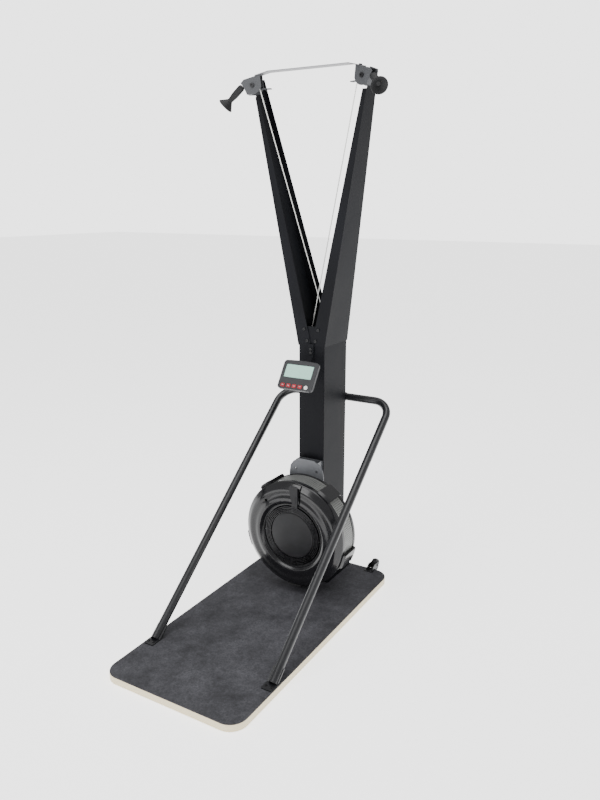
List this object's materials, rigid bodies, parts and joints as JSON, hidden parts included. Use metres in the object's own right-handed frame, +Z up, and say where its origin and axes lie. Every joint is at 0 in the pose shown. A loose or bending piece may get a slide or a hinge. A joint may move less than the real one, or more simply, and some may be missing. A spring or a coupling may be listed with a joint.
{
  "type": "ski ergometer",
  "caption": "Standing ski trainer on a floor platform: forked mast, two pull cords with handles, an air fan with damper lever, tilting console and a tube support hoop.",
  "frame": {"origin": "centre of the platform's underside, on the floor", "axes": "+X to the right of a person facing the machine, +Y away from them towards the mast, +Z up"},
  "size_m": [0.7479, 1.28, 2.1831],
  "materials": {
    "plywood": "satin",
    "mat": "matt, finely mottled",
    "dark_frame": "satin powder coat",
    "grey_metal": "satin powder coat",
    "gloss_black": "gloss",
    "matt_black": "matt",
    "light_grey": "satin",
    "steel": "satin",
    "cord_white": "braided",
    "bungee": "braided",
    "console_grey": "satin",
    "screen": "satin",
    "button_red": "satin",
    "button_white": "satin",
    "wheel_rubber": "matt"
  },
  "bodies": {
    "frame": {"arm_left": "dark_frame", "arm_right": "dark_frame", "ball_bearings": "steel", "base_bolts": "steel", "bungee_anchor": "dark_frame", "column": "dark_frame", "console_arm": "dark_frame", "console_pin": "steel", "crossbar": "grey_metal", "drive_cord_left": "cord_white", "drive_cord_right": "cord_white", "fan_brackets": "grey_metal", "fan_grille": "matt_black", "foot_brackets": "dark_frame", "foot_screws": "steel", "frame_bolts": "dark_frame", "front_cover": "gloss_black", "guide_bracket": "dark_frame", "head_cover_left": "grey_metal", "head_cover_right": "grey_metal", "head_screws": "steel", "head_shell_left": "grey_metal", "head_shell_right": "grey_metal", "hoop_clamp": "dark_frame", "housing_clips": "gloss_black", "hub_cap": "gloss_black", "perforated_band": "light_grey", "plywood_platform": "plywood", "pulley_bolts": "dark_frame", "rear_cover": "gloss_black", "return_bungees": "bungee", "rubber_mat": "mat", "support_hoop": "dark_frame", "wheel_axles": "steel", "wheel_brackets": "dark_frame"},
    "flywheel": {"fan_wheel": "matt_black", "fan_shaft": "steel"},
    "front_drum_body": {"front_drum": "matt_black"},
    "rear_drum_body": {"rear_drum": "matt_black"},
    "head_pulley_right": {"pulley_right": "matt_black"},
    "head_pulley_left": {"pulley_left": "matt_black"},
    "guide_wheel_right": {"guide_pulley_right": "matt_black"},
    "guide_wheel_left": {"guide_pulley_left": "matt_black"},
    "swing_right": {"cord_stub_right": "cord_white"},
    "swing_left": {"cord_stub_left": "cord_white"},
    "pull_right": {"handle_right": "matt_black", "cord_stop_right": "matt_black"},
    "pull_left": {"handle_left": "matt_black", "cord_stop_left": "matt_black"},
    "damper": {"damper_lever": "gloss_black"},
    "console": {"console_front": "console_grey", "console_back": "console_grey", "console_lens": "screen"},
    "wheel_right": {"transport_wheel_right": "wheel_rubber"},
    "wheel_left": {"transport_wheel_left": "wheel_rubber"},
    "units_button_cap": {"units_button": "button_red"},
    "display_button_cap": {"display_button": "button_red"},
    "change_button_cap": {"change_button": "button_red"},
    "menu_button_cap": {"menu_button": "button_red"},
    "power_button_cap": {"power_button": "button_white"}
  },
  "joints": [
    {"name": "flywheel_spin", "type": "hinge", "parent": "frame", "child": "flywheel", "pos_m": [0, 0.31, 0.3], "axis": [0, 1, 0], "continuous": true},
    {"name": "handle_right_swing", "type": "hinge", "parent": "frame", "child": "swing_right", "pos_m": [0.29067, 0.33349, 2.1234], "axis": [0.7696, 0.6385, 0], "range_deg": [-5, 30]},
    {"name": "handle_right_pull", "type": "slide", "parent": "swing_right", "child": "pull_right", "axis": [0.5702, -0.6872, -0.4501], "range_m": [0, 1.2], "stiffness_N_per_m": 12, "springref_m": -1.5, "deforming": ["cord_stub_right"]},
    {"name": "handle_left_swing", "type": "hinge", "parent": "frame", "child": "swing_left", "pos_m": [-0.29067, 0.33349, 2.1234], "axis": [0.256, -0.9667, 0], "range_deg": [-25, 30]},
    {"name": "handle_left_pull", "type": "slide", "parent": "swing_left", "child": "pull_left", "axis": [-0.7056, -0.1869, -0.6836], "range_m": [0, 1.2], "stiffness_N_per_m": 12, "springref_m": -1.5, "deforming": ["cord_stub_left"]},
    {"name": "head_pulley_right_spin", "type": "hinge", "parent": "frame", "child": "head_pulley_right", "pos_m": [0.24237, 0.34643, 2.1331], "axis": [0.2588, 0.9659, 0], "continuous": true},
    {"name": "head_pulley_left_spin", "type": "hinge", "parent": "frame", "child": "head_pulley_left", "pos_m": [-0.24237, 0.34643, 2.1331], "axis": [-0.2588, 0.9659, 0], "continuous": true},
    {"name": "guide_pulley_right_spin", "type": "hinge", "parent": "frame", "child": "guide_wheel_right", "pos_m": [-0.022, 0.468, 1.159], "axis": [0, 1, 0], "continuous": true},
    {"name": "guide_pulley_left_spin", "type": "hinge", "parent": "frame", "child": "guide_wheel_left", "pos_m": [0.022, 0.476, 1.159], "axis": [0, 1, 0], "continuous": true},
    {"name": "front_drum_spin", "type": "hinge", "parent": "frame", "child": "front_drum_body", "pos_m": [0, 0.46, 0.3], "axis": [0, 1, 0], "continuous": true},
    {"name": "rear_drum_spin", "type": "hinge", "parent": "frame", "child": "rear_drum_body", "pos_m": [0, 0.5, 0.3], "axis": [0, 1, 0], "continuous": true},
    {"name": "damper_turn", "type": "hinge", "parent": "frame", "child": "damper", "pos_m": [0, 0.235, 0.3], "axis": [0, -1, 0], "range_deg": [0, 35]},
    {"name": "console_tilt", "type": "hinge", "parent": "frame", "child": "console", "pos_m": [0, 0.352, 1.022], "axis": [1, 0, 0], "range_deg": [-20, 25]},
    {"name": "units_button_press", "type": "slide", "parent": "console", "child": "units_button_cap", "axis": [0, 0.8358, -0.549], "range_m": [0, 0.002], "stiffness_N_per_m": 400},
    {"name": "display_button_press", "type": "slide", "parent": "console", "child": "display_button_cap", "axis": [0, 0.8358, -0.549], "range_m": [0, 0.002], "stiffness_N_per_m": 400},
    {"name": "change_button_press", "type": "slide", "parent": "console", "child": "change_button_cap", "axis": [0, 0.8358, -0.549], "range_m": [0, 0.002], "stiffness_N_per_m": 400},
    {"name": "menu_button_press", "type": "slide", "parent": "console", "child": "menu_button_cap", "axis": [0, 0.8358, -0.549], "range_m": [0, 0.002], "stiffness_N_per_m": 400},
    {"name": "power_button_press", "type": "slide", "parent": "console", "child": "power_button_cap", "axis": [0, 0.8358, -0.549], "range_m": [0, 0.002], "stiffness_N_per_m": 400},
    {"name": "transport_wheel_right_spin", "type": "hinge", "parent": "frame", "child": "wheel_right", "pos_m": [0.211, 0.642, 0.037], "axis": [1, 0, 0], "continuous": true},
    {"name": "transport_wheel_left_spin", "type": "hinge", "parent": "frame", "child": "wheel_left", "pos_m": [-0.211, 0.642, 0.037], "axis": [1, 0, 0], "continuous": true}
  ],
  "couplings": [
    {"joint": "head_pulley_right_spin", "follows": "handle_right_pull", "rad_per_m": 41.667},
    {"joint": "guide_pulley_right_spin", "follows": "handle_right_pull", "rad_per_m": 62.5},
    {"joint": "front_drum_spin", "follows": "handle_right_pull", "rad_per_m": 26.316},
    {"joint": "head_pulley_left_spin", "follows": "handle_left_pull", "rad_per_m": -41.667},
    {"joint": "guide_pulley_left_spin", "follows": "handle_left_pull", "rad_per_m": -62.5},
    {"joint": "rear_drum_spin", "follows": "handle_left_pull", "rad_per_m": 26.316}
  ]
}
